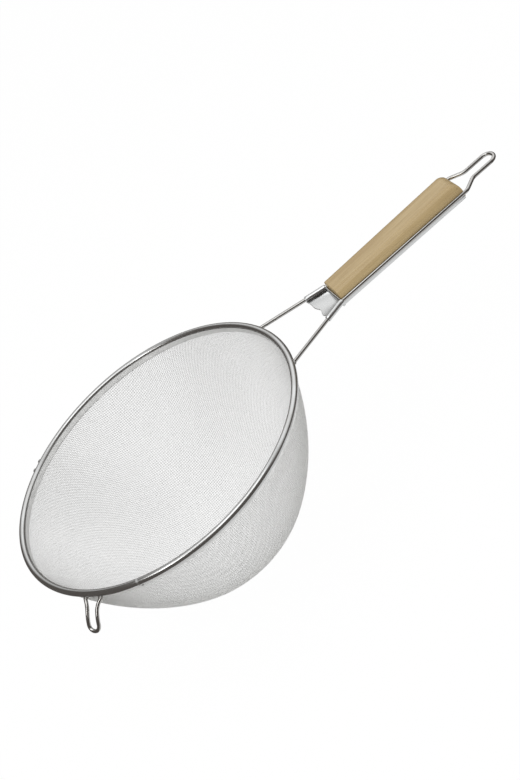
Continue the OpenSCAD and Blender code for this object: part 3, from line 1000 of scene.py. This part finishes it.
class STRAINER_OT_stage(StrainerOperator, bpy.types.Operator):
    """Sets up the floor, the studio light and the camera"""
    bl_idname = "strainer.stage"
    bl_label = "Studio"

    def execute(self, context):
        self.floor()
        self.flags()
        self.lights()
        self.world(context.scene)
        self.camera(context.scene)
        context.scene.view_settings.view_transform = "Standard"
        return {"FINISHED"}

    def floor(self):
        deselect()
        gap = 0.3 * MM
        bpy.ops.mesh.primitive_plane_add(size=4.0, location=(0, 0, cad_low.z - gap))
        floor = bpy.context.object
        floor.name = "floor"
        material, tree, shader = new_material("white_paper")
        fibre = add_node(tree, "TexNoise", {"Vector": pattern_place(tree, 2, 2, 2), "Scale": 1.0})
        shade = add_node(tree, "Mix", {
            0: fibre, 6: (*linear("F4F4F3"), 1), 7: (*linear("FAFAF9"), 1)}, data_type="RGBA")
        plug(tree, shader, {"Base Color": shade.outputs[2], "Roughness": 0.9})
        # Seen directly or through steel, the paper is nearly all white, and keeps a faint shadow.
        white_share = 0.97
        seen = add_node(tree, "Math", {0: directly_seen(tree), 1: white_share},
                        operation="MULTIPLY")
        glow = add_node(tree, "Emission", {"Color": (1, 1, 1, 1), "Strength": 1.0})
        both = add_node(tree, "MixShader", {0: seen, 1: shader, 2: glow})
        plug(tree, tree.nodes["Material Output"], {"Surface": both})
        floor.data.materials.append(material)

    def flags(self):
        """A glowing sheet round and on the table, out of view, that only glossy rays see: a painted
        reflection that draws dark edges on polished steel.

        It leaves the table white close to the strainer, and glows lightest high up behind it on the
        right.
        """
        middle_x, round_reach, height = 0.1, 1.7, 3.2
        least_clear_at = radians(101)

        def ring(reach, nearer, z):
            """Points round the strainer, which come nearer to it on one side."""
            points = []
            for k in range(72):
                a = radians(5 * k)
                out = reach - nearer * cos(a - least_clear_at)
                points.append((out * cos(a) + middle_x, out * sin(a), cad_low.z + z))
            return points

        cloth = skin("dark_flags", [ring(0.25, 0.12, MM), ring(round_reach, 0, MM),
                                    ring(round_reach, 0, height)], caps=False)
        material, tree, _ = new_material("lit_cloth")
        place = add_node(tree, "TexCoord", {}).outputs["Object"]
        shares = []
        # Painted reflection: the sheet's glow is dark near the strainer and low down, and lightest
        # high up behind it on the right.
        for way, low, high in (((0.77, 0.64, 0), 0.3, 1.6), ((0, 0, 1), 0.25, 1.0)):
            far = add_node(tree, "VectorMath", {0: place, 1: way}, operation="DOT_PRODUCT")
            shares.append(add_node(tree, "MapRange", {0: far.outputs["Value"], 1: low, 2: high}))
        light = add_node(tree, "Math", dict(enumerate(shares)), operation="MULTIPLY")
        shade = add_node(tree, "Mix", {
            0: light, 6: (*linear("585451"), 1), 7: (*linear("FFFFFF"), 1)}, data_type="RGBA")
        glow = add_node(tree, "Emission", {"Color": shade.outputs[2], "Strength": 1.5})
        plug(tree, tree.nodes["Material Output"], {"Surface": glow})
        cloth.data.materials.append(material)
        for ray in ("camera", "diffuse", "transmission", "shadow"):
            setattr(cloth, f"visible_{ray}", False)

    def lights(self):
        target = Vector((0.05, 0.0, -0.03))
        for name, place, size, power in (
                ("top_softbox", (0.1, -0.1, 1.25), 0.8, 2.8),
                ("side_softbox", (-0.55, -0.45, 0.95), 0.4, 2.0)):
            deselect()
            bpy.ops.object.light_add(type="AREA", location=place)
            light = bpy.context.object
            light.name = name
            light.data.size = size
            light.data.energy = power
            light.rotation_mode = "QUATERNION"
            light.rotation_quaternion = (target - Vector(place)).to_track_quat("-Z", "Y")

    def world(self, scene):
        """White where it is seen, and light grey as the room's stray light."""
        world = scene.world or bpy.data.worlds.new("studio")
        scene.world = world
        world.use_nodes = True
        tree = world.node_tree
        tree.nodes.clear()
        shade = add_node(tree, "Mix", {
            0: directly_seen(tree), 6: (0.86, 0.86, 0.86, 1), 7: (1, 1, 1, 1)}, data_type="RGBA")
        back = add_node(tree, "Background", {"Color": shade.outputs[2], "Strength": 1.0})
        add_node(tree, "OutputWorld", {"Surface": back})

    def camera(self, scene):
        place = Vector((0.07473, -0.98849, 0.64796))
        azimuth, elevation, roll = radians(-1.16), radians(34.16), radians(-41.18)
        flat = cos(elevation)
        back = Vector((sin(azimuth) * flat, -cos(azimuth) * flat, sin(elevation)))
        right = Vector((cos(azimuth), sin(azimuth), 0))
        up = back.cross(right)
        rolled_right = cos(roll) * right + sin(roll) * up
        rolled_up = cos(roll) * up - sin(roll) * right
        turn = Matrix((rolled_right, rolled_up, back)).transposed()
        data = bpy.data.cameras.new("camera")
        data.sensor_width, data.lens = 36.0, 69.52
        data.clip_start, data.clip_end = 0.01, 20.0
        camera = bpy.data.objects.new("camera", data)
        scene.collection.objects.link(camera)
        camera.matrix_world = Matrix.Translation(place) @ turn.to_4x4()
        scene.camera = camera


class STRAINER_PT_panel(bpy.types.Panel):
    """Lists the strainer's pieces"""
    bl_idname = "STRAINER_PT_panel"
    bl_label = "Bowl Strainer"
    bl_space_type = "VIEW_3D"
    bl_region_type = "UI"
    bl_category = "Strainer"

    def draw(self, context):
        for operator in PIECES:
            self.layout.operator(operator.bl_idname)


GROUPS = {
    "strainer_rim": StrainerRim,
    "strainer_cloth": StrainerCloth,
    "strainer_handle": StrainerHandle,
    "strainer_tray": StrainerTray,
    "strainer_grip": StrainerGrip,
    "strainer_hooks": StrainerHooks,
    "strainer_colours": StrainerColours,
}
PIECES = (
    STRAINER_OT_stage,
    STRAINER_OT_rim,
    STRAINER_OT_fine_cloth,
    STRAINER_OT_support_cloth,
    STRAINER_OT_handle_wire,
    STRAINER_OT_tray,
    STRAINER_OT_grip,
    STRAINER_OT_hooks,
    STRAINER_OT_welds,
)


def register():
    for group in GROUPS.values():
        bpy.utils.register_class(group)
    for name, group in GROUPS.items():
        setattr(bpy.types.Scene, name, PointerProperty(type=group))
    for operator in PIECES:
        bpy.utils.register_class(operator)
    bpy.utils.register_class(STRAINER_PT_panel)


def unregister():
    bpy.utils.unregister_class(STRAINER_PT_panel)
    for operator in reversed(PIECES):
        bpy.utils.unregister_class(operator)
    for name in GROUPS:
        delattr(bpy.types.Scene, name)
    for group in reversed(GROUPS.values()):
        bpy.utils.unregister_class(group)


def main():
    register()
    bpy.ops.strainer.stage()
    bpy.ops.strainer.rim()
    bpy.ops.strainer.fine_cloth()
    bpy.ops.strainer.support_cloth()
    bpy.ops.strainer.handle_wire()
    bpy.ops.strainer.tray()
    bpy.ops.strainer.grip()
    bpy.ops.strainer.hooks()
    bpy.ops.strainer.welds()


if __name__ == "__main__":
    main()
